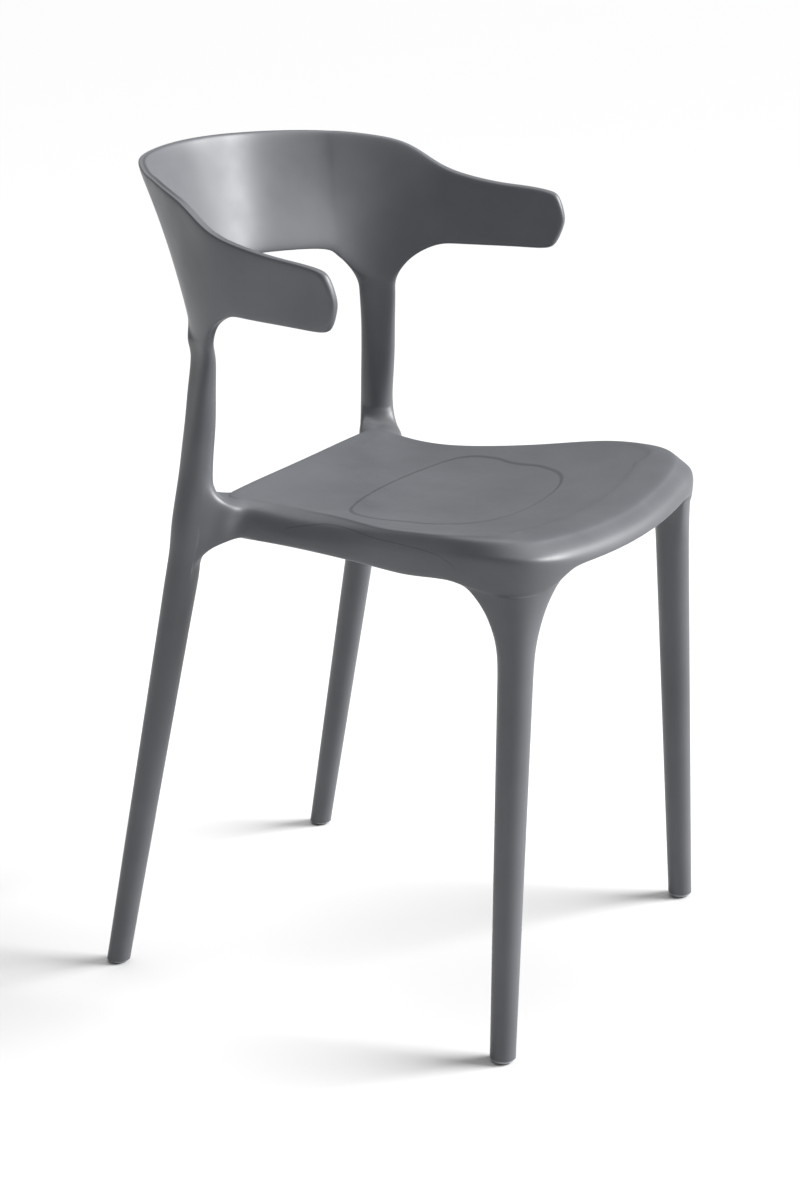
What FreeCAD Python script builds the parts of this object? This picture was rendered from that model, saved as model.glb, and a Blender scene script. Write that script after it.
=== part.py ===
import FreeCAD, Part
import math
import os
from FreeCAD import Vector

# Moulded plastic armchair: one thin shell with four legs, and a push-in glide with a soft sole in each leg.
# Millimetres. The chair faces -Y, +Z is up, X = 0 is the mirror plane, and the soles stand on Z = 0.

# Overall heights
overall_height = 746.0
seat_height = 456.0
arm_bottom = 634.5
arm_top = 688.0

# Seat outline in plan: each corner is (x, y)
seat_front = -251.6
seat_front_corner = (190.0, -219.0)
seat_hip = (191.0, -160.0)
seat_waist = (153.0, 20.0)
seat_rear_corner = (149.0, 110.0)
seat_rear = 114.0
front_crown_radius = 700.0
front_corner_radius = 42.0
hip_radius = 150.0
waist_radius = 300.0
rear_corner_radius = 24.0
rear_crown_radius = 1500.0

# Seat surface: each station is (y, rise at the middle, rise at the side), above the seat height
surface_stations = [
    (134.0, 6.0, 3.0),
    (60.0, -9.0, -1.0),
    (0.0, -15.0, 2.0),
    (-70.0, -15.0, 1.0),
    (-145.0, -8.0, 7.0),
    (-205.0, 0.0, 14.0),
    (-262.0, -8.0, 6.0),
]
surface_side = 165.0
surface_margin = 230.0
seat_edge_radius = 12.0
inner_chamfer_share = 0.62

# Skirt round the seat, and the ribs under it
skirt_drop = 30.0
skirt_slope = 0.05
front_arch_width = 212.0
front_arch_rise = 9.0
wall = 4.0
rib_wall = 2.6
rib_setback = 9.0
long_rib_spacing = 80.0
cross_rib_spacing = 75.0

# Front legs: the middle line runs from the foot to the hip, just below the seat
front_foot = (200.0, -204.3)
front_hip = (164.0, -195.7)
front_foot_diameter = 22.0
front_hip_diameter = 31.0
flare_width = 42.0
flare_height = 62.0
flare_shares = (0.0, 0.35, 0.6, 0.8, 0.93, 1.0)

# Rear legs, which carry on above the seat as uprights and narrow to a blade at the neck
rear_foot = (191.5, 205.2)
rear_hip = (175.5, 127.0)
rear_foot_diameter = 21.0
rear_hip_diameter = 30.0
neck = (158.5, 116.0)
neck_drop = 45.0
hip_drop = 26.0
blade_width = 33.0
blade_angle = -58.0
neck_wall = 7.0
blade_overlap = 10.0
upright_bow = 0.5
blade_taper = 1.5
upright_shares = (0.0, 0.25, 0.5, 0.75, 1.0)

# Shoulders that join the rear corners of the seat to the rear legs
shoulder_height = 31.0
shoulder_width = 34.0
shoulder_spread = 86.0
shoulder_root = (120.0, 91.0)
shoulder_end = 0.25
shoulder_sections = [
    (0.0, shoulder_width, shoulder_height - 4 * wall),
    (0.45, shoulder_width, shoulder_height),
    (0.7, 0.85 * shoulder_width, 1.25 * shoulder_height),
    (1.0, 0.6 * shoulder_width, shoulder_spread),
]

# Back band and its arms: each plan point is (x, y, lean in x, lean in y) at the underside of the arms
band_stations = [
    (0.0, 202.0, 0.0, 35.0),
    (40.0, 197.5, 6.0, 35.0),
    (67.0, 187.5, 17.0, 35.0),
    (96.0, 172.5, 24.0, 31.0),
    (143.0, 143.5, 21.0, 15.0),
    (166.4, 119.0, 20.0, 12.0),
    (181.5, 90.0, 21.0, 9.0),
    (195.5, 48.0, 21.0, 2.0),
    (206.0, 0.0, 19.5, 0.0),
    (217.0, -62.0, 19.0, 0.0),
]
lean_height = 110.0
band_wall = 8.6
band_edge_chamfer = 2.4
back_slope_y = 118.0
arm_slope_y = 64.0
back_slope_drop = 12.0
arm_slope_rise = 12.0
arm_tip = -53.0
arm_tip_radius = 19.0
top_bend_radius = 65.0
notch_y = 101.0
notch_radius = 32.0
arch_half_width = 149.0
arch_rise = 4.0
arch_radius = 38.0

# Glides and soles
glide_height = 4.0
glide_setback = 1.2
glide_flange = 2.6
sole_setback = 1.6
sole_seat = 1.2
stem_diameter = 8.0
stem_length = 22.0
fin_wall = 2.0
barb_rise = 0.5
barb_pitch = 7.0
bore_clearance = 0.15
bore_spare = 3.0
leg_end_chamfer = 1.5
sole_edge_chamfer = 0.5

# Room that cutting solids take past the shell, and a turn that keeps the seams of round parts apart
margin = 60.0
seam_turn = -45.0

skirt_bottom = seat_height - skirt_drop
hip_height = seat_height - hip_drop
shoulder_bottom = skirt_bottom + shoulder_height / 2 - shoulder_spread / 2
neck_height = arm_bottom - neck_drop


def mirrored(shape):
    return shape.mirror(Vector(0, 0, 0), Vector(1, 0, 0))


def both_sides(shape):
    return [shape, mirrored(shape)]


def rounded_wire(corners, place):
    """A closed wire through corners (u, v, radius), each rounded by an arc; place turns u, v into a point."""
    edges = []
    last_end = None
    first_start = None
    for i, (u, v, radius) in enumerate(corners):
        here = Vector(u, v, 0)
        back = Vector(corners[i - 1][0], corners[i - 1][1], 0) - here
        ahead = Vector(corners[(i + 1) % len(corners)][0], corners[(i + 1) % len(corners)][1], 0) - here
        back.normalize()
        ahead.normalize()
        half_angle = back.getAngle(ahead) / 2
        start = here
        end = here
        if radius > 0:
            reach = radius / math.tan(half_angle)
            to_middle = (back + ahead).normalize() * (radius / math.sin(half_angle) - radius)
            start = here + back * reach
            end = here + ahead * reach
            middle = here + to_middle
        if last_end is not None:
            edges.append(Part.LineSegment(place(last_end), place(start)).toShape())
        if radius > 0:
            edges.append(Part.Arc(place(start), place(middle), place(end)).toShape())
        if first_start is None:
            first_start = start
        last_end = end
    edges.append(Part.LineSegment(place(last_end), place(first_start)).toShape())
    return Part.Wire(edges)


def side_view(x):
    return lambda point: Vector(x, point.x, point.y)


def front_view(y):
    return lambda point: Vector(point.x, y, point.y)


def top_view(z):
    return lambda point: Vector(point.x, point.y, z)


def ellipse_section(x, y, z, along, across, angle, upright=False):
    """A closed ellipse: along runs at angle degrees in plan, and across is level too, or upright."""
    squash = FreeCAD.Matrix()
    squash.scale(Vector(along / 2, across / 2, 1))
    ring = Part.Circle(Vector(0, 0, 0), Vector(0, 0, 1), 1.0).toShape().transformGeometry(squash)
    turn = FreeCAD.Rotation(Vector(0, 0, 1), angle)
    if upright:
        turn = turn * FreeCAD.Rotation(Vector(1, 0, 0), 90)
    ring.Placement = FreeCAD.Placement(Vector(x, y, z), turn)
    return Part.Wire(ring)


def between(start, end, share):
    return tuple(a + (b - a) * share for a, b in zip(start, end))


def seat_corners(inset):
    """The plan corners of the seat, moved in by inset, with radii to match."""
    right = [
        (seat_front_corner[0], seat_front_corner[1], front_corner_radius),
        (seat_hip[0], seat_hip[1], hip_radius),
        (seat_waist[0], seat_waist[1], -waist_radius),
        (seat_rear_corner[0], seat_rear_corner[1], rear_corner_radius),
    ]
    left = [(-x, y, radius) for x, y, radius in reversed(right)]
    front = (0.0, seat_front, front_crown_radius)
    rear = (0.0, seat_rear, rear_crown_radius)
    ring = [front] + right + [rear] + left
    moved = []
    for i, (x, y, radius) in enumerate(ring):
        here = Vector(x, y, 0)
        back = (Vector(ring[i - 1][0], ring[i - 1][1], 0) - here).normalize()
        ahead = (Vector(ring[(i + 1) % len(ring)][0], ring[(i + 1) % len(ring)][1], 0) - here).normalize()
        half_angle = back.getAngle(ahead) / 2
        inward = (back + ahead).normalize() * (inset / math.sin(half_angle))
        if radius < 0:
            inward = -inward
        spot = here + inward
        moved.append((spot.x, spot.y, abs(radius - inset)))
    return moved


def seat_prism(inset, low, high):
    """The seat's outline as a solid whose walls lean in towards the bottom, as the mould's draft needs."""
    wires = []
    for z in (low, high):
        wires.append(rounded_wire(seat_corners(inset + skirt_slope * (seat_height - z)), top_view(z)))
    return Part.makeLoft(wires, True, True)


def above_seat(drop):
    """Everything above the dished seat surface, lowered by drop."""
    sections = []
    for y, middle, side in surface_stations:
        edge = middle + (side - middle) * (surface_margin / surface_side) ** 2
        level = seat_height - drop
        curve = Part.BezierCurve()
        curve.setPoles([
            Vector(-surface_margin, y, level + edge),
            Vector(0, y, level + 2 * middle - edge),
            Vector(surface_margin, y, level + edge),
        ])
        sections.append(Part.Wire(curve.toShape()))
    surface = Part.makeLoft(sections, False, False)
    return surface.Faces[0].extrude(Vector(0, 0, 2 * margin))


def seat_block(inset, low):
    """The seat as a solid block with a rolled top edge, moved in by inset on the top and on every side."""
    block = seat_prism(inset, low, seat_height + margin).cut(above_seat(inset))
    rim = [edge for edge in block.Edges if edge.BoundBox.ZMin > skirt_bottom + seat_edge_radius]
    rim = [edge for edge in rim if edge.BoundBox.ZLength < margin / 4]
    if inset > 0:
        return block.makeChamfer(inner_chamfer_share * (seat_edge_radius - inset), rim)
    return block.makeFillet(seat_edge_radius, rim)


def seat_shell():
    """Dished panel with a rolled edge, a drafted skirt, a shallow arch in the front skirt, and ribs below."""
    shell = seat_block(0, skirt_bottom).cut(seat_block(wall, skirt_bottom - wall))
    return shell.cut(front_arch()).fuse(seat_ribs())


def front_arch():
    half = front_arch_width / 2
    low = skirt_bottom - margin
    left = Vector(-half, seat_front - margin, skirt_bottom)
    crown = Vector(0, seat_front - margin, skirt_bottom + front_arch_rise)
    right = Vector(half, seat_front - margin, skirt_bottom)
    arc = Part.Arc(left, crown, right).toShape()
    down_right = Vector(half, seat_front - margin, low)
    down_left = Vector(-half, seat_front - margin, low)
    lines = Part.makePolygon([right, down_right, down_left, left])
    face = Part.Face(Part.Wire([arc] + lines.Edges))
    return face.extrude(Vector(0, 2 * margin, 0))


def seat_ribs():
    """Crossed ribs under the panel, trimmed by a solid that ends inside the panel and the skirt."""
    core = seat_block(wall / 2, skirt_bottom)
    low = skirt_bottom + rib_setback
    length = seat_rear - seat_front
    bars = []
    for step in (-1, 0, 1):
        x = step * long_rib_spacing
        bars.append(Part.makeBox(rib_wall, length, margin, Vector(x - rib_wall / 2, seat_front, low)))
    y = seat_rear - cross_rib_spacing
    while y > seat_front + cross_rib_spacing / 2:
        width = 2 * surface_margin
        bars.append(Part.makeBox(width, rib_wall, margin, Vector(-surface_margin, y - rib_wall / 2, low)))
        y -= cross_rib_spacing
    grid = bars[0].fuse(bars[1:])
    return core.common(grid)


def leg_axis(foot, hip):
    return (Vector(hip[0], hip[1], hip_height) - Vector(foot[0], foot[1], 0)).normalize()


def leg_diameter(z, foot_diameter, hip_diameter):
    return foot_diameter + (hip_diameter - foot_diameter) * z / hip_height


def round_section(x, y, diameter, z):
    """A level circle, with its seam turned away from the seat."""
    return ellipse_section(x, y, z, diameter, diameter, seam_turn)


def turned_leg(foot, hip, foot_diameter, hip_diameter, heights):
    """A tapered round leg through level circles at the heights, with a chamfer round its foot."""
    sections = []
    for z in heights:
        x, y = between(foot, hip, z / hip_height)
        sections.append(round_section(x, y, leg_diameter(z, foot_diameter, hip_diameter), z))
    leg = Part.makeLoft(sections, True, True)
    rim = [edge for edge in leg.Edges if edge.BoundBox.ZMax < glide_height + leg_end_chamfer]
    return leg.makeChamfer(leg_end_chamfer, rim)


def front_leg():
    """A round leg that widens along a quarter ellipse into the skirt's corner."""
    low = skirt_bottom - flare_height
    leg = turned_leg(front_foot, front_hip, front_foot_diameter, front_hip_diameter, (glide_height, low))
    sections = []
    for share in flare_shares:
        z = low + (flare_height + wall) * share
        x, y = between(front_foot, front_hip, z / hip_height)
        widening = 2 * flare_width * (1 - math.sqrt(1 - share ** 2))
        diameter = leg_diameter(z, front_foot_diameter, front_hip_diameter)
        sections.append(round_section(x, y, diameter + widening, z))
    flare = Part.makeLoft(sections, True, True)
    return leg.fuse(flare.common(seat_prism(0, low, seat_height)))


def upright():
    """From the hip, where it is as round as the leg, to the thin neck where it meets the band."""
    sections = []
    for share in upright_shares:
        z = hip_height + (neck_height - hip_height) * share
        x, y = between(rear_hip, neck, share ** upright_bow)
        along = rear_hip_diameter + (blade_width - rear_hip_diameter) * share
        across = rear_hip_diameter + (neck_wall - rear_hip_diameter) * share
        sections.append(ellipse_section(x, y, z, along, across, blade_angle))
    return Part.makeLoft(sections, True, True)


def rear_leg():
    """The round leg, with a circle just below the shoulder, and the upright that carries on from the hip."""
    heights = (glide_height, shoulder_bottom, hip_height)
    leg = turned_leg(rear_foot, rear_hip, rear_foot_diameter, rear_hip_diameter, heights)
    return leg.fuse(upright())


def shoulder():
    """A stub from under the corner of the seat to the leg, spread where it meets the leg."""
    z = skirt_bottom + shoulder_height / 2
    end = between(rear_hip, neck, shoulder_end)
    run = Vector(end[0] - shoulder_root[0], end[1] - shoulder_root[1], 0).normalize()
    across_angle = math.degrees(math.atan2(run.y, run.x)) + 90
    sections = []
    for share, width, height in shoulder_sections:
        x, y = between(shoulder_root, end, share)
        sections.append(ellipse_section(x, y, z, width, height, across_angle, upright=True))
    return Part.makeLoft(sections, True, True)


def band_curve(side, z):
    """One long edge of the band's plan at height z, half the wall out or in from the middle line."""
    lean = (z - arm_bottom) / lean_height
    half = [Vector(x + lx * lean, y + ly * lean, z) for x, y, lx, ly in band_stations]
    points = [Vector(-p.x, p.y, p.z) for p in reversed(half[1:])] + half
    moved = []
    for i, point in enumerate(points):
        run = points[min(i + 1, len(points) - 1)] - points[max(i - 1, 0)]
        outward = Vector(-run.y, run.x, 0).normalize()
        moved.append(point + outward * (side * band_wall / 2))
    curve = Part.BSplineCurve()
    curve.interpolate(moved)
    return curve.toShape()


def band_wall_solid():
    """The curved wall that the band, the arms and the tops of the uprights are cut from."""
    wires = []
    for z in (neck_height - 2 * blade_overlap, overall_height + margin / 4):
        outer = band_curve(1, z)
        inner = band_curve(-1, z)
        cap_a = Part.LineSegment(outer.Vertexes[0].Point, inner.Vertexes[0].Point).toShape()
        cap_b = Part.LineSegment(outer.Vertexes[1].Point, inner.Vertexes[1].Point).toShape()
        wires.append(Part.Wire([outer, cap_b, inner, cap_a]))
    return Part.makeLoft(wires, True, True)


def band_side_profile():
    """What is kept of the wall, seen from the side: back, slope, arm with a round tip, notch and upright."""
    rear = seat_rear + 3 * margin
    back_y = band_stations[0][1] + band_stations[0][3] + band_wall
    corners = [
        (rear, overall_height, 0),
        (back_y, overall_height, 0),
        (back_slope_y, overall_height - back_slope_drop, top_bend_radius),
        (arm_slope_y, arm_top + arm_slope_rise, top_bend_radius),
        (arm_tip, arm_top, arm_tip_radius),
        (arm_tip, arm_bottom, arm_tip_radius),
        (notch_y, arm_bottom, notch_radius),
        (notch_y + blade_taper, neck_height - blade_overlap, 0),
        (rear, neck_height - blade_overlap, 0),
    ]
    wire = rounded_wire(corners, side_view(-2 * surface_margin))
    return Part.Face(wire).extrude(Vector(4 * surface_margin, 0, 0))


def back_arch():
    """The gap between the uprights, below the band, seen from behind."""
    low = neck_height - blade_overlap
    corners = [
        (-arch_half_width - blade_taper, low, 0),
        (-arch_half_width, arm_bottom - arch_rise, arch_radius),
        (0.0, arm_bottom + arch_rise, 0),
        (arch_half_width, arm_bottom - arch_rise, arch_radius),
        (arch_half_width + blade_taper, low, 0),
    ]
    wire = rounded_wire(corners, front_view(0))
    return Part.Face(wire).extrude(Vector(0, seat_rear + 4 * margin, 0))


def back_band():
    band = band_wall_solid().common(band_side_profile()).cut(back_arch())
    sides = sorted(band.Faces, key=lambda face: face.Area)[-2:]
    rims = [edge for face in sides for edge in face.Edges if edge.BoundBox.ZMax > neck_height]
    return band.makeChamfer(band_edge_chamfer, rims)


def stem(foot, hip, radius, length):
    """A cylinder up the middle of a leg from its end face."""
    x, y = between(foot, hip, glide_height / hip_height)
    axis = leg_axis(foot, hip)
    return Part.makeCylinder(radius, length, Vector(x, y, glide_height) - axis * glide_height, axis)


def moulded_shell():
    """The whole one-piece moulding, with a bore up each leg for its glide."""
    limbs = []
    for limb in (front_leg(), rear_leg(), shoulder()):
        limbs.extend(both_sides(limb))
    shell = seat_shell().fuse(limbs + [back_band()])
    bore = stem_diameter / 2 + bore_clearance
    for foot, hip in ((front_foot, front_hip), (rear_foot, rear_hip)):
        shell = shell.cut(both_sides(stem(foot, hip, bore, glide_height + stem_length + bore_spare)))
    return shell


def foot_ring(foot, hip, foot_diameter, low, high, setback):
    """A disc at the end of a leg, as wide as the leg less a setback."""
    x, y = between(foot, hip, glide_height / hip_height)
    radius = foot_diameter / 2 - setback
    return Part.makeCylinder(radius, high - low, Vector(x, y, low))


def stem_fin():
    """One flat fin of a glide's crossed stem, standing on the origin, with barbed edges and a tapered tip."""
    reach = math.sqrt((stem_diameter / 2) ** 2 - (fin_wall / 2) ** 2)
    edge = [(reach - barb_rise, -glide_flange / 2)]
    height = barb_pitch
    while height < stem_length - barb_pitch / 2:
        edge.extend([(reach - barb_rise, height), (reach, height)])
        edge.append((reach - barb_rise, height + barb_pitch / 2))
        height += barb_pitch
    edge.extend([(reach - barb_rise, stem_length - reach / 2), (reach / 2, stem_length)])
    ring = edge + [(-u, v) for u, v in reversed(edge)]
    points = [Vector(u, -fin_wall / 2, v) for u, v in ring]
    return Part.Face(Part.makePolygon(points + points[:1])).extrude(Vector(0, fin_wall, 0))


def glide(foot, hip, foot_diameter):
    """A plug with a flange against the leg's end, a crossed stem in its bore, and a seat for the sole."""
    low = glide_height - glide_flange
    plug = foot_ring(foot, hip, foot_diameter, low, glide_height, glide_setback)
    x, y = between(foot, hip, glide_height / hip_height)
    for turn in (0, 90):
        fin = stem_fin()
        upright_fin = FreeCAD.Rotation(Vector(0, 0, 1), leg_axis(foot, hip))
        spin = FreeCAD.Rotation(Vector(0, 0, 1), turn)
        fin.Placement = FreeCAD.Placement(Vector(x, y, glide_height), upright_fin * spin)
        plug = plug.fuse(fin)
    recess = foot_ring(foot, hip, foot_diameter, 0, low + sole_seat, glide_setback + sole_setback)
    return plug.cut(recess).removeSplitter()


def sole(foot, hip, foot_diameter):
    """The soft disc that the chair stands on, let into the underside of the glide."""
    pad = foot_ring(foot, hip, foot_diameter, 0, glide_height - glide_flange + sole_seat,
                    glide_setback + sole_setback)
    ring = [edge for edge in pad.Edges if abs(edge.CenterOfMass.z) < sole_edge_chamfer / 2]
    return pad.makeChamfer(sole_edge_chamfer, ring)


os.makedirs("parts", exist_ok=True)
moulded_shell().exportStep("parts/moulded_shell.step")
for end, foot, hip, foot_diameter in (
    ("front", front_foot, front_hip, front_foot_diameter),
    ("rear", rear_foot, rear_hip, rear_foot_diameter),
):
    for name, piece in (("glide", glide(foot, hip, foot_diameter)), ("sole", sole(foot, hip, foot_diameter))):
        for side, shape in zip(("left", "right"), both_sides(piece)):
            shape.exportStep(f"parts/{name}_{end}_{side}.step")
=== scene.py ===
import bmesh
import bpy
import math
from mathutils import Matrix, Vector


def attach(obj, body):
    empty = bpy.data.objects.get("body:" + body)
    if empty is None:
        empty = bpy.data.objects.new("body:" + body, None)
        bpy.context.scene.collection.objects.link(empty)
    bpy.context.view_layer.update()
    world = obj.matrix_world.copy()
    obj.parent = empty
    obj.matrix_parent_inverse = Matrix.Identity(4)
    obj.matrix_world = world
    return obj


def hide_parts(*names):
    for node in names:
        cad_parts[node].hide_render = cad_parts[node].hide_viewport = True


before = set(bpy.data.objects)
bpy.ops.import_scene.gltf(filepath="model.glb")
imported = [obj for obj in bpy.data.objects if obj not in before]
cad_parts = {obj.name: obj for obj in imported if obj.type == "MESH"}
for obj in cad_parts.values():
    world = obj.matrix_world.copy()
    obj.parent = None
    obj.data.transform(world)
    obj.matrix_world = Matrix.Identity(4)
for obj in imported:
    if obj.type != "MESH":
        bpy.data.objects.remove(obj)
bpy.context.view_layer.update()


# Moulded shell. One gas-assisted injection moulding in grey polypropylene: a dished seat with a rolled edge and
# a skirt, four round legs, two uprights that thin to blades, and a back band that runs forward as the arms.
# Its cage is grown ring by ring in millimetres over one half, mirrored, and subdivided to a smooth surface.
SEAT_HEIGHT = 456.0
PANEL_WALL = 4.0
SKIRT_DRAFT = 1.2
# Each row runs across the seat: (y, rise at the middle, rise at the side) over the seat height
DISH_ROWS = [
    (-262.0, -8.0, 6.0),
    (-205.0, 0.0, 14.0),
    (-145.0, -8.0, 7.0),
    (-70.0, -15.0, 1.0),
    (0.0, -15.0, 2.0),
    (60.0, -9.0, -1.0),
    (134.0, 6.0, 3.0),
]
DISH_SIDE = 165.0
# The seat's outline from the middle of the front to the middle of the rear:
# (x, y, width of the rolled edge, height of the skirt's lower edge, half width of the crease along the roll)
OUTLINE = [
    (0.0, -240.4, 34.0, 433.0, 11.0),
    (45.0, -239.0, 34.0, 433.5, 11.0),
    (88.0, -235.2, 34.0, 435.0, 11.0),
    (124.0, -230.2, 34.0, 435.0, 11.0),
    (150.0, -223.4, 34.0, 428.0, 11.0),
    (173.5, -208.5, 31.0, 424.0, 9.0),
    (186.0, -180.0, 20.0, 425.0, 5.0),
    (186.3, -139.0, 9.0, 429.0, 1.8),
    (180.2, -98.0, 8.0, 427.0, 1.6),
    (169.3, -58.0, 10.0, 425.0, 1.6),
    (158.7, -12.0, 18.0, 424.0, 1.6),
    (152.3, 36.0, 22.0, 424.0, 2.0),
    (150.0, 78.0, 17.0, 424.0, 3.0),
    (149.0, 96.0, 11.0, 424.0, 2.5),
    (142.5, 108.0, 8.0, 424.0, 2.2),
    (130.0, 112.5, 6.0, 424.5, 2.0),
    (114.0, 113.7, 5.0, 425.0, 1.8),
    (78.0, 114.0, 4.5, 425.5, 1.6),
    (40.0, 114.0, 4.5, 426.0, 1.6),
    (0.0, 114.0, 4.5, 426.0, 1.6),
]
# Rows of the rolled edge: crease half widths, share of the roll, and drop as a share of the depth
ROLL_ROWS = [(1, 1.0, 0.0), (-1, 1.0, 0.05), (0, 0.42, 0.19), (0, 0.12, 0.5), (0, 0.0, 0.86)]
# Plan distances from a point's roll and crease to the panel's edge: on top, and underneath at the legs, sides and rear
PANEL_MARGIN = 9.0
POCKET_MARGIN = 24.0
SIDE_MARGIN = 11.0
REAR_MARGIN = 9.0
POCKET_POINTS = (4, 5, 6)
ROLL_DEPTH = 24.0
SHOULDER_DROP = 0.02
UNDER_INSET = 4.0
UNDER_DROP = 5.0
FRONT_CORNER = 5
REAR_CORNER = 14
SHOULDER_TOP = (13, 14, 15)
MIDDLE_ROWS = [-185.0, -164.0, -132.0, -96.0, -56.0, -12.0, 36.0, 68.0, 88.0, 100.0]

FRONT_FOOT = (200.0, -204.3)
FRONT_HIP = (164.0, -195.7)
FRONT_DIAMETERS = (22.8, 32.4)
REAR_FOOT = (191.5, 205.2)
REAR_HIP = (172.2, 125.4)
REAR_DIAMETERS = (21.8, 30.8)
HIP_HEIGHT = 430.0
LEG_END = 4.4
LEG_END_RADIUS = 1.5
FLARE_LOW = 350.0
FLARE_HIGH = 426.0
# The pocket walls inside the seat where a front leg rises into it: plan points beside outline points 4, 5 and 6
LEG_POCKET = [(143.0, -205.0), (155.0, -187.0), (174.0, -168.0)]

BLADE_ANGLE = -58.0
# The upright above the hip: (x, y, z, half width along the blade, half thickness, squareness)
UPRIGHT = [
    (172.6, 124.9, 440.0, 15.6, 15.6, 0.0),
    (166.6, 121.4, 478.0, 15.8, 15.0, 0.1),
    (164.8, 119.8, 502.0, 16.0, 12.8, 0.3),
    (162.5, 117.6, 530.0, 16.4, 10.9, 0.5),
    (160.4, 116.4, 560.0, 16.6, 8.4, 0.7),
    (158.3, 115.8, 586.0, 17.4, 6.0, 0.9),
    (159.5, 117.3, 600.0, 19.4, 5.2, 1.0),
]
BAND_HALF = 4.3
# The band from the middle of the back to the tip of an arm: lower edge (x, y, z), then upper edge (x, y, z)
BAND = [
    ((0.0, 202.0, 636.0), (0.0, 236.4, 744.7)),
    ((38.5, 197.8, 636.0), (45.0, 232.2, 744.2)),
    ((66.2, 186.4, 636.0), (83.5, 221.2, 743.0)),
    ((94.0, 169.4, 635.5), (117.5, 200.0, 742.0)),
    ((121.7, 152.4, 632.5), (145.0, 177.0, 740.3)),
    ((131.3, 144.9, 625.5), (155.0, 166.2, 739.2)),
    ((138.5, 138.2, 616.5), (164.5, 155.3, 738.0)),
    ((160.5, 117.6, 606.0), (182.4, 132.0, 733.8)),
    ((177.5, 92.0, 618.0), (198.0, 104.6, 726.0)),
    ((189.0, 68.0, 632.5), (206.2, 79.0, 711.0)),
    ((196.3, 46.0, 634.5), (209.0, 52.0, 700.8)),
    ((203.5, 15.0, 634.5), (213.6, 15.0, 694.3)),
    ((209.5, -13.0, 634.5), (218.5, -14.0, 691.8)),
    ((214.0, -36.0, 634.8), (221.0, -36.0, 688.8)),
]
# The arm's round tip: the middle line of its rounded edge, and the points where that edge begins
TIP_EDGE = [(216.9, -47.2, 640.1), (219.8, -52.8, 655.0), (221.4, -52.8, 668.0), (222.0, -47.2, 683.0)]
TIP_ROWS = [(216.8, -45.7, 641.6), (219.4, -50.6, 655.2), (221.0, -50.6, 667.9), (221.8, -45.7, 681.4)]
TIP_OUT = (0.99, 0.15, 0.0)
BLADE_STATIONS = (6, 7, 8)
BAND_ROWS = (0.30, 0.70)
RIM = 2.4


def mix(a, b, share):
    return tuple(p + (q - p) * share for p, q in zip(a, b))


def between_rows(y):
    """The dish's rise at the middle and at the side, at one y."""
    rows = DISH_ROWS
    for low, high in zip(rows, rows[1:]):
        if y <= high[0]:
            share = (y - low[0]) / (high[0] - low[0])
            return mix(low[1:], high[1:], share)
    return rows[-1][1:]


def seat_top(x, y):
    middle, side = between_rows(y)
    return SEAT_HEIGHT + middle + (side - middle) * (x / DISH_SIDE) ** 2


def outline_point(k, inset):
    """A plan point inset from the outline, square to it."""
    x, y = OUTLINE[k][:2]
    if k in (0, len(OUTLINE) - 1):
        return (x, y + inset if y < 0 else y - inset)
    before, after = OUTLINE[k - 1], OUTLINE[k + 1]
    run = Vector((after[0] - before[0], after[1] - before[1])).normalized()
    return (x - run.y * inset, y + run.x * inset)


def grow(bm, ring, places, closed=True):
    """Extrudes a loop or chain of points, and puts the new points at places."""
    pairs = list(zip(ring, ring[1:] + ring[:1])) if closed else list(zip(ring, ring[1:]))
    edges = [bm.edges.get(pair) for pair in pairs]
    made = bmesh.ops.extrude_edge_only(bm, edges=edges)["geom"]
    fresh = {part for part in made if isinstance(part, bmesh.types.BMVert)}
    new_ring = []
    for old, place in zip(ring, places):
        new = next(e.other_vert(old) for e in old.link_edges if e.other_vert(old) in fresh)
        new.co = place
        new_ring.append(new)
    return new_ring


def open_up(bm, corners):
    """Takes away the faces that lie wholly inside a set of points."""
    inside = set(corners)
    faces = [f for f in bm.faces if all(v in inside for v in f.verts)]
    bmesh.ops.delete(bm, geom=faces, context="FACES")


def panel(bm, edge, middle, height):
    """A grid that fills one half of the seat inside the chain edge; height gives z at a plan point."""
    columns, rows = FRONT_CORNER, REAR_CORNER - FRONT_CORNER
    front = edge[:FRONT_CORNER + 1]
    side = edge[FRONT_CORNER:REAR_CORNER + 1]
    rear = edge[REAR_CORNER:][::-1]
    made = bmesh.ops.create_grid(bm, x_segments=columns, y_segments=rows, size=1)["verts"]
    chain = {}
    for v in made:
        i = round((v.co.x + 1) / 2 * columns)
        j = round((v.co.y + 1) / 2 * rows)
        across, along = i / columns, j / rows
        lengthwise = mix(front[i], rear[i], along)
        crosswise = mix(middle[j], side[j], across)
        corners = mix(mix(front[0], front[-1], across), mix(rear[0], rear[-1], across), along)
        x, y = (a + b - c for a, b, c in zip(lengthwise, crosswise, corners))
        v.co = (x, y, height(x, y))
        if j == 0:
            chain[i] = v
        elif i == columns:
            chain[columns + j] = v
        elif j == rows:
            chain[2 * columns + rows - i] = v
    return [chain[k] for k in range(len(chain))]


def leg_ring(foot, hip, diameters, z, angles, inset=0.0):
    x, y = mix(foot, hip, z / HIP_HEIGHT)
    radius = (diameters[0] + (diameters[1] - diameters[0]) * z / HIP_HEIGHT) / 2 - inset
    return [Vector((x + radius * math.cos(a), y + radius * math.sin(a), z)) for a in angles]


def circle(bm, count):
    """A loop of new points in order round the z axis, from the one nearest +x."""
    made = bmesh.ops.create_circle(bm, cap_ends=False, radius=1, segments=count)["verts"]
    first = min(made, key=lambda v: (v.co - Vector((1, 0, 0))).length)
    start = math.atan2(first.co.y, first.co.x)
    return sorted(made, key=lambda v: (math.atan2(v.co.y, v.co.x) - start) % math.tau)


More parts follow.
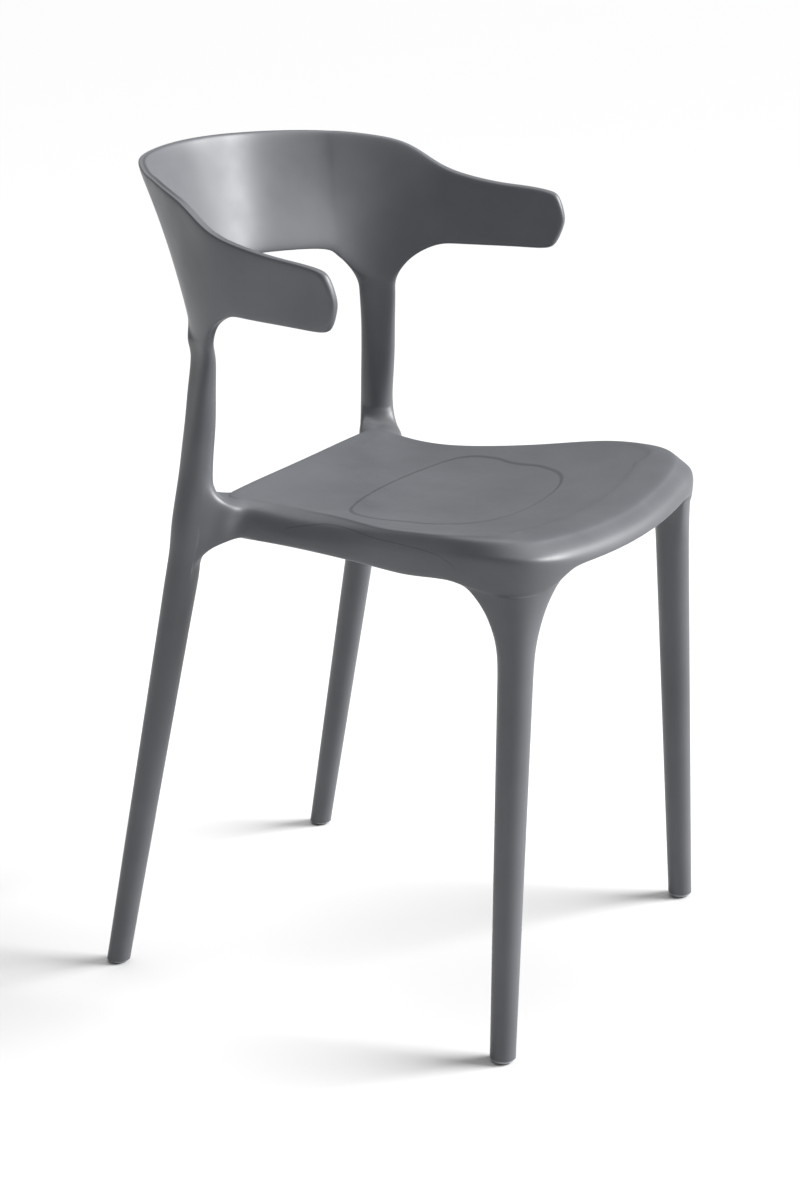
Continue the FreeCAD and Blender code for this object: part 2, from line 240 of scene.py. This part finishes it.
def grow_seat(bm):
    """Panel, rolled edge, skirt and underside. Returns the loops that a front leg and a shoulder grow from."""
    count = range(len(OUTLINE))
    inner = [outline_point(k, OUTLINE[k][2] + OUTLINE[k][4] + PANEL_MARGIN) for k in count]
    middle = [(0.0, y) for y in MIDDLE_ROWS]
    inner[0] = middle[0]
    inner[-1] = middle[-1]
    ring = panel(bm, inner, middle, seat_top)
    rolled = []
    for side, share, drop in ROLL_ROWS:
        places = []
        for k in count:
            x, y, roll, bottom, crease = OUTLINE[k]
            inset = roll * share + crease * side
            plan = outline_point(k, inset)
            crest = seat_top(*outline_point(k, max(inset, roll)))
            depth = min(crest - bottom, ROLL_DEPTH)
            level = min(drop, SHOULDER_DROP) if share > 0.3 and k in SHOULDER_TOP else drop
            places.append((*plan, crest - level * depth))
        ring = grow(bm, ring, places, closed=False)
        rolled.append(ring)
    skirt = [(*outline_point(k, SKIRT_DRAFT), OUTLINE[k][3]) for k in count]
    lower = grow(bm, ring, skirt, closed=False)
    inside = [(*outline_point(k, SKIRT_DRAFT + PANEL_WALL), OUTLINE[k][3]) for k in count]
    for k, plan in zip(POCKET_POINTS, LEG_POCKET):
        inside[k] = (*plan, OUTLINE[k][3])
    inside_ring = grow(bm, lower, inside, closed=False)
    under = []
    for k in count:
        plan = inside[k][:2] if k in POCKET_POINTS else outline_point(k, SKIRT_DRAFT + PANEL_WALL + UNDER_INSET)
        under.append((*plan, seat_top(*outline_point(k, OUTLINE[k][2])) - PANEL_WALL - UNDER_DROP))
    ring = grow(bm, inside_ring, under, closed=False)
    below = []
    for k in count:
        margin = POCKET_MARGIN if k in POCKET_POINTS else SIDE_MARGIN if k < SHOULDER_TOP[0] else REAR_MARGIN
        below.append(outline_point(k, OUTLINE[k][2] + margin))
    below[0] = middle[0]
    below[-1] = middle[-1]
    grow(bm, ring, [(*p, seat_top(*p) - PANEL_WALL) for p in below], closed=False)
    panel(bm, below, middle, lambda x, y: seat_top(x, y) - PANEL_WALL)
    group = range(3, 8)
    leg_loop = [lower[k] for k in group] + [inside_ring[k] for k in reversed(group)]
    open_up(bm, leg_loop)
    roll, turn, edge = rolled[2:5]
    patch = roll[12:17] + [turn[16], edge[16]] + lower[16:11:-1] + [edge[12], turn[12]]
    open_up(bm, patch + turn[13:16] + edge[13:16])
    return leg_loop, patch


def grow_front_leg(bm, loop):
    """The leg leaves the corner of the skirt along quarter ellipses, and is round below them."""
    turn = math.radians(36)
    start = math.radians(-45) - 2 * turn
    angles = [start + turn * step for step in range(10)]
    base = [v.co.copy() for v in loop]
    spread = [b - c for b, c in zip(base, leg_ring(FRONT_FOOT, FRONT_HIP, FRONT_DIAMETERS, FLARE_HIGH, angles))]
    for z in (420.5, 412.0, 401.0, 385.0, 364.0, 335.0, 290.0, 180.0, 80.0, 12.0, LEG_END + LEG_END_RADIUS):
        share = max(0.0, (z - FLARE_LOW) / (FLARE_HIGH - FLARE_LOW))
        flare = 1 - math.sqrt(1 - share ** 2)
        ring = leg_ring(FRONT_FOOT, FRONT_HIP, FRONT_DIAMETERS, z, angles)
        loop = grow(bm, loop, [p + s * flare for p, s in zip(ring, spread)])
    for inset in (LEG_END_RADIUS, 2.5 * LEG_END_RADIUS):
        loop = grow(bm, loop, leg_ring(FRONT_FOOT, FRONT_HIP, FRONT_DIAMETERS, LEG_END, angles, inset))


def blade_ring(x, y, z, half_width, half_thick, squareness):
    """Eight points round the upright, from its front rim by way of its outer face."""
    turn = math.radians(BLADE_ANGLE)
    points = []
    for step in range(8):
        angle = math.radians(45 * step)
        along, out = half_width * math.cos(angle), half_thick * math.sin(angle)
        if step % 2:
            along *= 1 + 0.14 * squareness
            out *= 1 + 0.34 * squareness
        points.append(Vector((x + along * math.cos(turn) - out * math.sin(turn),
                              y + along * math.sin(turn) + out * math.cos(turn), z)))
    return points


def grow_rear_leg(bm):
    """From the foot up past the seat to the blade. Returns its top loop and the loop that faces the seat."""
    angles = [math.radians(BLADE_ANGLE + 45 * step) for step in range(8)]
    loop = circle(bm, 8)
    places = leg_ring(REAR_FOOT, REAR_HIP, REAR_DIAMETERS, LEG_END, angles, 2.5 * LEG_END_RADIUS)
    for v, place in zip(loop, places):
        v.co = place
    loop = grow(bm, loop, leg_ring(REAR_FOOT, REAR_HIP, REAR_DIAMETERS, LEG_END, angles, LEG_END_RADIUS))
    rings = []
    for z in (LEG_END + LEG_END_RADIUS, 12.0, 90.0, 190.0, 290.0, 350.0, 386.0, 414.0):
        loop = grow(bm, loop, leg_ring(REAR_FOOT, REAR_HIP, REAR_DIAMETERS, z, angles))
        rings.append(loop)
    for station in UPRIGHT:
        loop = grow(bm, loop, blade_ring(*station))
        rings.append(loop)
    low, mid, top, high = rings[6:10]
    hole = [high[0], high[7], high[6], high[5], high[4], top[4], mid[4]]
    hole += [low[4], low[5], low[6], low[7], low[0], mid[0], top[0]]
    open_up(bm, hole + mid[5:8] + top[5:8])
    return loop, hole


def grow_shoulder(bm, patch, hole):
    """The seat's rear corner reaches the leg and spreads up and down it along quarter ellipses."""
    start = [v.co.copy() for v in patch]
    end = [v.co.copy() for v in hole]
    loop = patch
    for share in (0.35, 0.62, 0.82, 0.94, 1.0):
        spread = 1 - math.sqrt(1 - share ** 2)
        places = []
        for a, b in zip(start, end):
            x, y = mix((a.x, a.y), (b.x, b.y), share)
            places.append((x, y, a.z + (b.z - a.z) * spread))
        loop = grow(bm, loop, places)


def band_section(i):
    """Ten points round the band at one station: lower rim, outer face, upper rim, inner face."""
    low, high = (Vector(p) for p in BAND[i])
    if i == 0:
        out = Vector((0, 1, 0))
    else:
        after = BAND[min(i + 1, len(BAND) - 1)]
        run = (Vector(after[0]) + Vector(after[1]) - Vector(BAND[i - 1][0]) - Vector(BAND[i - 1][1]))
        out = Vector((-run.y, run.x, 0)).normalized()
    out = out * BAND_HALF
    rise = (high - low).normalized() * RIM
    rows = [low + rise, low.lerp(high, BAND_ROWS[0]), low.lerp(high, BAND_ROWS[1]), high - rise]
    return [low] + [r + out for r in rows] + [high] + [r - out for r in reversed(rows)]


def grow_band(bm):
    """The curved wall of back and arm. Returns the loop in its lower rim that the upright joins."""
    loop = circle(bm, 10)
    for v, place in zip(loop, band_section(0)):
        v.co = place
    rings = [loop]
    for i in range(1, len(BAND)):
        rings.append(grow(bm, rings[-1], band_section(i)))
    out = Vector(TIP_OUT) * BAND_HALF
    rows = [Vector(p) for p in TIP_ROWS]
    section = [TIP_EDGE[0]] + [r + out for r in rows] + [TIP_EDGE[-1]] + [r - out for r in reversed(rows)]
    last = grow(bm, rings[-1], section)
    end = grow(bm, last[2:4], TIP_EDGE[1:3], closed=False)
    for quad in ((last[0], last[1], last[2], end[0]), (last[3], last[4], last[5], end[1]),
                 (last[0], last[9], last[8], end[0]), (last[8], last[7], end[1], end[0]),
                 (last[7], last[6], last[5], end[1])):
        bmesh.ops.contextual_create(bm, geom=quad)
    rear, mid, front = (rings[i] for i in BLADE_STATIONS)
    loop = [front[0], front[1], mid[1], rear[1], rear[0], rear[9], mid[9], front[9]]
    open_up(bm, loop + [mid[0]])
    return loop


def settle(piece, rounds):
    """Moves the cage until the smooth surface runs through the places that its points were given."""
    aims = [v.co.copy() for v in piece.data.vertices]
    for _ in range(rounds):
        bpy.context.view_layer.update()
        smooth = piece.evaluated_get(bpy.context.evaluated_depsgraph_get()).data
        steps = [aim - smooth.vertices[i].co for i, aim in enumerate(aims)]
        for vert, step in zip(piece.data.vertices, steps):
            vert.co += step
        piece.data.update()


def bake(piece):
    """Puts the smooth surface in the cage's place, so that the piece's bounds are those of what is seen."""
    bpy.context.view_layer.update()
    graph = bpy.context.evaluated_depsgraph_get()
    smooth = bpy.data.meshes.new_from_object(piece.evaluated_get(graph), depsgraph=graph)
    piece.modifiers.clear()
    piece.data = smooth
    smooth.shade_smooth()


def show(bm, name, scale=0.001):
    """Turns a finished bmesh into a piece of the object, in metres."""
    bmesh.ops.scale(bm, verts=bm.verts, vec=(scale,) * 3)
    mesh = bpy.data.meshes.new(name)
    bm.to_mesh(mesh)
    bm.free()
    mesh.shade_smooth()
    piece = bpy.data.objects.new(name, mesh)
    bpy.context.scene.collection.objects.link(piece)
    return piece


def srgb(value):
    """A hex colour as the linear values that the shader takes."""
    parts = [int(value[i:i + 2], 16) / 255 for i in (0, 2, 4)]
    return tuple(p / 12.92 if p <= 0.04045 else ((p + 0.055) / 1.055) ** 2.4 for p in parts) + (1.0,)


def add(tree, kind, inputs=None, **settings):
    """Adds a node. Each input gets a value, or a link where it is given another node's output."""
    node = tree.nodes.new("ShaderNode" + kind)
    for key, value in settings.items():
        setattr(node, key, value)
    for key, value in (inputs or {}).items():
        if isinstance(value, bpy.types.NodeSocket):
            tree.links.new(value, node.inputs[key])
        else:
            node.inputs[key].default_value = value
    return node


def moulded(name, dark, light, roughness, grain, ior):
    """A moulded plastic: clouded colour, roughness that drifts, and the mould's fine eroded texture as bump."""
    mat = bpy.data.materials.new(name)
    mat.use_nodes = True
    tree = mat.node_tree
    shader = tree.nodes["Principled BSDF"]
    shader.inputs["IOR"].default_value = ior
    place = add(tree, "TexCoord").outputs["Object"]
    cloud = add(tree, "TexNoise", {"Vector": place, "Scale": 7.0, "Detail": 4.0, "Roughness": 0.6})
    tone = add(tree, "MapRange", {"Value": cloud.outputs[0], "From Min": 0.35, "From Max": 0.65})
    colour = add(tree, "Mix", {"Factor": tone.outputs[0], 6: srgb(dark), 7: srgb(light)}, data_type="RGBA")
    drift = add(tree, "TexNoise", {"Vector": place, "Scale": 23.0, "Detail": 3.0})
    rough = add(tree, "MapRange", {"Value": drift.outputs[0], "From Min": 0.3, "From Max": 0.7,
                                   "To Min": roughness - 0.05, "To Max": roughness + 0.05})
    tree.links.new(rough.outputs[0], shader.inputs["Roughness"])
    erosion = add(tree, "TexNoise", {"Vector": place, "Scale": 1000.0 / grain, "Detail": 2.0})
    waves = add(tree, "TexNoise", {"Vector": place, "Scale": 38.0, "Detail": 1.0})
    broad = add(tree, "Bump", {"Height": waves.outputs[0], "Strength": 0.12, "Distance": 0.0008})
    fine = add(tree, "Bump", {"Height": erosion.outputs[0], "Strength": 0.25, "Distance": 0.00006,
                              "Normal": broad.outputs[0]})
    tree.links.new(fine.outputs[0], shader.inputs["Normal"])
    tree.links.new(colour.outputs[2], shader.inputs["Base Color"])
    return mat, shader, place, colour


# The mould's parting line, a hair-thin dark seam meant for the skirt's side. Its height is a curve of y, in metres.
# Known fault: nothing keeps it to the side, so it also shows on the seat top where the dish passes these heights.
SEAM_Y = (-0.150, 0.040)
SEAM_Z = (0.430, 0.455)
SEAM = [(-0.1481, 0.4384), (-0.138, 0.4448), (-0.1204, 0.4493), (-0.0908, 0.4496), (-0.0562, 0.4483),
        (-0.0332, 0.4490), (-0.0082, 0.4486), (0.0158, 0.4444), (0.0385, 0.4387)]
SEAM_ENDS = (-0.148, 0.0385)
SEAM_HALF = 0.0002
SEAM_FADE = 0.0005
SEAM_DEPTH = 0.45


def add_seam(tree, shader, place, colour):
    """Darkens the colour within a hair of the seam's curve."""
    axes = add(tree, "SeparateXYZ", {"Vector": place})
    along = add(tree, "MapRange", {"Value": axes.outputs["Y"], "From Min": SEAM_Y[0], "From Max": SEAM_Y[1]})
    height = add(tree, "FloatCurve", {"Value": along.outputs[0]})
    run = height.mapping.curves[0].points
    marks = [((y - SEAM_Y[0]) / (SEAM_Y[1] - SEAM_Y[0]), (z - SEAM_Z[0]) / (SEAM_Z[1] - SEAM_Z[0])) for y, z in SEAM]
    run[0].location, run[-1].location = marks[0], marks[-1]
    for mark in marks[1:-1]:
        run.new(*mark)
    height.mapping.update()
    level = add(tree, "MapRange", {"Value": height.outputs[0], "To Min": SEAM_Z[0], "To Max": SEAM_Z[1]})
    gap = add(tree, "Math", {0: axes.outputs["Z"], 1: level.outputs[0]}, operation="SUBTRACT")
    gap = add(tree, "Math", {0: gap.outputs[0]}, operation="ABSOLUTE")
    line = add(tree, "MapRange", {"Value": gap.outputs[0], "From Min": SEAM_HALF, "From Max": SEAM_FADE,
                                  "To Min": SEAM_DEPTH, "To Max": 0.0})
    for end, side in zip(SEAM_ENDS, ("GREATER_THAN", "LESS_THAN")):
        within = add(tree, "Math", {0: axes.outputs["Y"], 1: end}, operation=side)
        line = add(tree, "Math", {0: line.outputs[0], 1: within.outputs[0]}, operation="MULTIPLY")
    seamed = add(tree, "Mix", {"Factor": line.outputs[0], 6: colour.outputs[2], 7: srgb("1c1d1f")}, data_type="RGBA")
    tree.links.new(seamed.outputs[2], shader.inputs["Base Color"])


bm = bmesh.new()
leg_loop, patch = grow_seat(bm)
grow_front_leg(bm, leg_loop)
upright_top, shoulder_hole = grow_rear_leg(bm)
grow_shoulder(bm, patch, shoulder_hole)
band_loop = grow_band(bm)
grow(bm, upright_top, [v.co.copy() for v in band_loop])
bmesh.ops.remove_doubles(bm, verts=bm.verts, dist=0.05)
for v in bm.verts:
    if abs(v.co.x) < 0.1:
        v.co.x = 0
bmesh.ops.mirror(bm, geom=bm.verts[:] + bm.edges[:] + bm.faces[:], axis="X", merge_dist=0.05)
bmesh.ops.recalc_face_normals(bm, faces=bm.faces)
shell = show(bm, "moulded_shell_skin")
smoothing = shell.modifiers.new("smooth", "SUBSURF")
smoothing.levels = smoothing.render_levels = 1
settle(shell, 6)
smoothing.levels = smoothing.render_levels = 3
bake(shell)
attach(shell, "root")
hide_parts("moulded_shell")
# Polypropylene with a satin eroded finish: a soft wide gloss, faint clouds in the grey, and a fine grain up close.
# Its grey is set with the lights to bring the render towards the photo; it isn't a measured colour.
shell_mat, *parts = moulded("polypropylene_satin", "4b4d51", "54565a", 0.44, 0.45, 1.49)
add_seam(shell_mat.node_tree, *parts)
shell.data.materials.append(shell_mat)


# Ribs under the seat. Thin crossed walls, moulded with the panel, that stiffen it. The photo doesn't show them.
# Each top lies inside the panel, and runs down where the rib meets the rolled edge so as not to come through it.
RIB_WALL = 2.6
RIB_BOTTOM = 435.0
RIB_SINK = 2.0
RIB_RUN_OUT = 36.0
RIB_DROP = 22.0
RIB_LEAST = 1.0
RIB_STEPS = 40
LONG_RIBS = (-80.0, 0.0, 80.0)
LONG_RIB_ENDS = (-232.0, 110.0)
CROSS_RIBS = (39.0, -36.0, -111.0, -186.0)
CROSS_RIB_HALVES = (146.0, 158.0, 178.0, 178.0)
bm = bmesh.new()
# Each wall: its two ends, and the ends at which its top runs down
walls = []
for x in LONG_RIBS:
    front, rear = (x, LONG_RIB_ENDS[0]), (x, LONG_RIB_ENDS[1])
    walls.append((front, rear, (front,)))
for y, half in zip(CROSS_RIBS, CROSS_RIB_HALVES):
    right, left = (-half, y), (half, y)
    walls.append((right, left, (right, left)))
for start, end, falling in walls:
    made = bmesh.ops.create_grid(bm, x_segments=RIB_STEPS, y_segments=1, size=1)["verts"]
    for v in made:
        x, y = mix(start, end, (v.co.x + 1) / 2)
        inside = min(math.dist((x, y), point) for point in falling)
        top = seat_top(x, y) - RIB_SINK - RIB_DROP * max(0, 1 - inside / RIB_RUN_OUT) ** 2
        v.co = (x, y, max(top, RIB_BOTTOM + RIB_LEAST) if v.co.y > 0 else RIB_BOTTOM)
bmesh.ops.recalc_face_normals(bm, faces=bm.faces)
bmesh.ops.solidify(bm, geom=bm.faces[:], thickness=RIB_WALL)
ribs = show(bm, "seat_ribs_skin")
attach(ribs, "root")
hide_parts("moulded_shell")
ribs.data.materials.append(shell_mat)


# Feet. A hard polyethylene glide pushed into each leg's end, with a soft rubber sole in its underside to stand on.
# Only the flange's edge is seen. The stem is plain and round here; the solid's own stem is crossed and barbed.
GLIDES = [("front", FRONT_FOOT, FRONT_HIP, 9.8), ("rear", REAR_FOOT, REAR_HIP, 9.3)]
FLANGE = (1.4, 4.8)
RECESS_DEPTH = 1.2
SOLE_GAP = 1.6
SOLE_PLAY = 0.1
GLIDE_EDGE = 0.45
SOLE_EDGE = 0.5
TURN_STEPS = 48
STEM_RADIUS = 3.4
STEM_TOP = 25.0


def turned(name, place, profile):
    """A piece turned about its own upright middle line from a chain of (radius, height)."""
    bm = bmesh.new()
    chain = [bmesh.ops.create_vert(bm, co=(place[0] + r, place[1], z))["vert"][0] for r, z in profile]
    for a, b in zip(chain, chain[1:]):
        bmesh.ops.contextual_create(bm, geom=[a, b])
    bmesh.ops.spin(bm, geom=bm.verts[:] + bm.edges[:], cent=(*place, 0), axis=(0, 0, 1),
                   angle=math.tau, steps=TURN_STEPS)
    bmesh.ops.remove_doubles(bm, verts=bm.verts, dist=0.001)
    bmesh.ops.recalc_face_normals(bm, faces=bm.faces)
    return show(bm, name)


def softened(profile, radius):
    """Cuts the sharp turns of a profile into three short steps; its ends lie on the middle line."""
    done = [profile[0]]
    for before, here, after in zip(profile, profile[1:], profile[2:]):
        start = Vector(here) + (Vector(before) - Vector(here)).normalized() * radius
        end = Vector(here) + (Vector(after) - Vector(here)).normalized() * radius
        middle = (start + end + 2 * Vector(here)) / 4
        done += [tuple(start), tuple(middle), tuple(end)]
    return done + [profile[-1]]


# Polyethylene, a lighter grey and waxier than the shell
glide_mat = moulded("polyethylene_waxy", "8b8e92", "96999d", 0.38, 0.6, 1.51)[0]
# Thermoplastic rubber: dark, dull and slightly dusty
sole_mat = moulded("thermoplastic_rubber_dull", "2e2f31", "3a3b3d", 0.75, 0.8, 1.5)[0]
for end, foot, hip, radius in GLIDES:
    x, y = mix(foot, hip, LEG_END / HIP_HEIGHT)
    recess = radius - SOLE_GAP
    roof = FLANGE[0] + RECESS_DEPTH
    plug = [(0, STEM_TOP), (STEM_RADIUS, STEM_TOP), (STEM_RADIUS, FLANGE[1]), (radius, FLANGE[1]),
            (radius, FLANGE[0]), (recess, FLANGE[0]), (recess, roof), (0, roof)]
    pad = [(0, roof), (recess - SOLE_PLAY, roof), (recess - SOLE_PLAY, 0), (0, 0)]
    for side, sign in (("left", 1), ("right", -1)):
        for kind, profile, edge, mat in (("glide", plug, GLIDE_EDGE, glide_mat), ("sole", pad, SOLE_EDGE, sole_mat)):
            piece = turned(f"{kind}_{end}_{side}_skin", (sign * x, y), softened(profile, edge))
            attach(piece, "root")
            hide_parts(f"{kind}_{end}_{side}")
            piece.data.materials.append(mat)

# The CAD nodes' own materials, in case one of them is shown
for name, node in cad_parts.items():
    node.data.materials.clear()
    node.data.materials.append(shell_mat if "shell" in name else glide_mat if "glide" in name else sole_mat)


# Studio. A plain pale floor, a broad soft key from the chair's front and left, a soft box above, and a dim white world.
FLOOR_HALF = 40000.0
WORLD_STRENGTH = 0.35
KEY_STRENGTH = 7.0
KEY_SPREAD = 35
KEY_TRAVEL = (-0.52, 0.78, -0.52)
bm = bmesh.new()
bmesh.ops.create_grid(bm, x_segments=1, y_segments=1, size=FLOOR_HALF)
floor = show(bm, "floor")
paper = bpy.data.materials.new("white_paper")
paper.use_nodes = True
paper.node_tree.nodes["Principled BSDF"].inputs["Base Color"].default_value = srgb("d8d8d8")
paper.node_tree.nodes["Principled BSDF"].inputs["Roughness"].default_value = 0.9
floor.data.materials.append(paper)

world = bpy.data.worlds.new("studio")
world.use_nodes = True
world.node_tree.nodes["Background"].inputs["Color"].default_value = (1, 1, 1, 1)
world.node_tree.nodes["Background"].inputs["Strength"].default_value = WORLD_STRENGTH
bpy.context.scene.world = world


def soft_box(name, place, aim, size, power):
    lamp = bpy.data.lights.new(name, "AREA")
    lamp.shape = "RECTANGLE"
    lamp.size, lamp.size_y = size
    lamp.energy = power
    box = bpy.data.objects.new(name, lamp)
    box.location = place
    box.rotation_euler = (Vector(aim) - Vector(place)).to_track_quat("-Z", "Y").to_euler()
    bpy.context.scene.collection.objects.link(box)


key = bpy.data.lights.new("key_light", "SUN")
key.energy = KEY_STRENGTH
key.angle = math.radians(KEY_SPREAD)
key_lamp = bpy.data.objects.new("key_light", key)
key_lamp.rotation_euler = Vector(KEY_TRAVEL).to_track_quat("-Z", "Y").to_euler()
bpy.context.scene.collection.objects.link(key_lamp)
soft_box("top_light", (0.3, 0.2, 2.6), (0, 0, 0.4), (1.8, 1.8), 30)
bpy.context.scene.view_settings.view_transform = "Standard"

# The camera that was fitted to the photo
AZIMUTH = math.radians(-61.68)
ELEVATION = math.radians(18.04)
DISTANCE = 2.5216
target = Vector((0, 0.00559, 0.33440))
back = Vector((math.sin(AZIMUTH) * math.cos(ELEVATION), -math.cos(AZIMUTH) * math.cos(ELEVATION), math.sin(ELEVATION)))
lens = bpy.data.cameras.new("camera")
lens.lens = 81
lens.sensor_width = 36
camera = bpy.data.objects.new("camera", lens)
camera.location = target + back * DISTANCE
camera.rotation_euler = (-back).to_track_quat("-Z", "Y").to_euler()
bpy.context.scene.collection.objects.link(camera)
bpy.context.scene.camera = camera
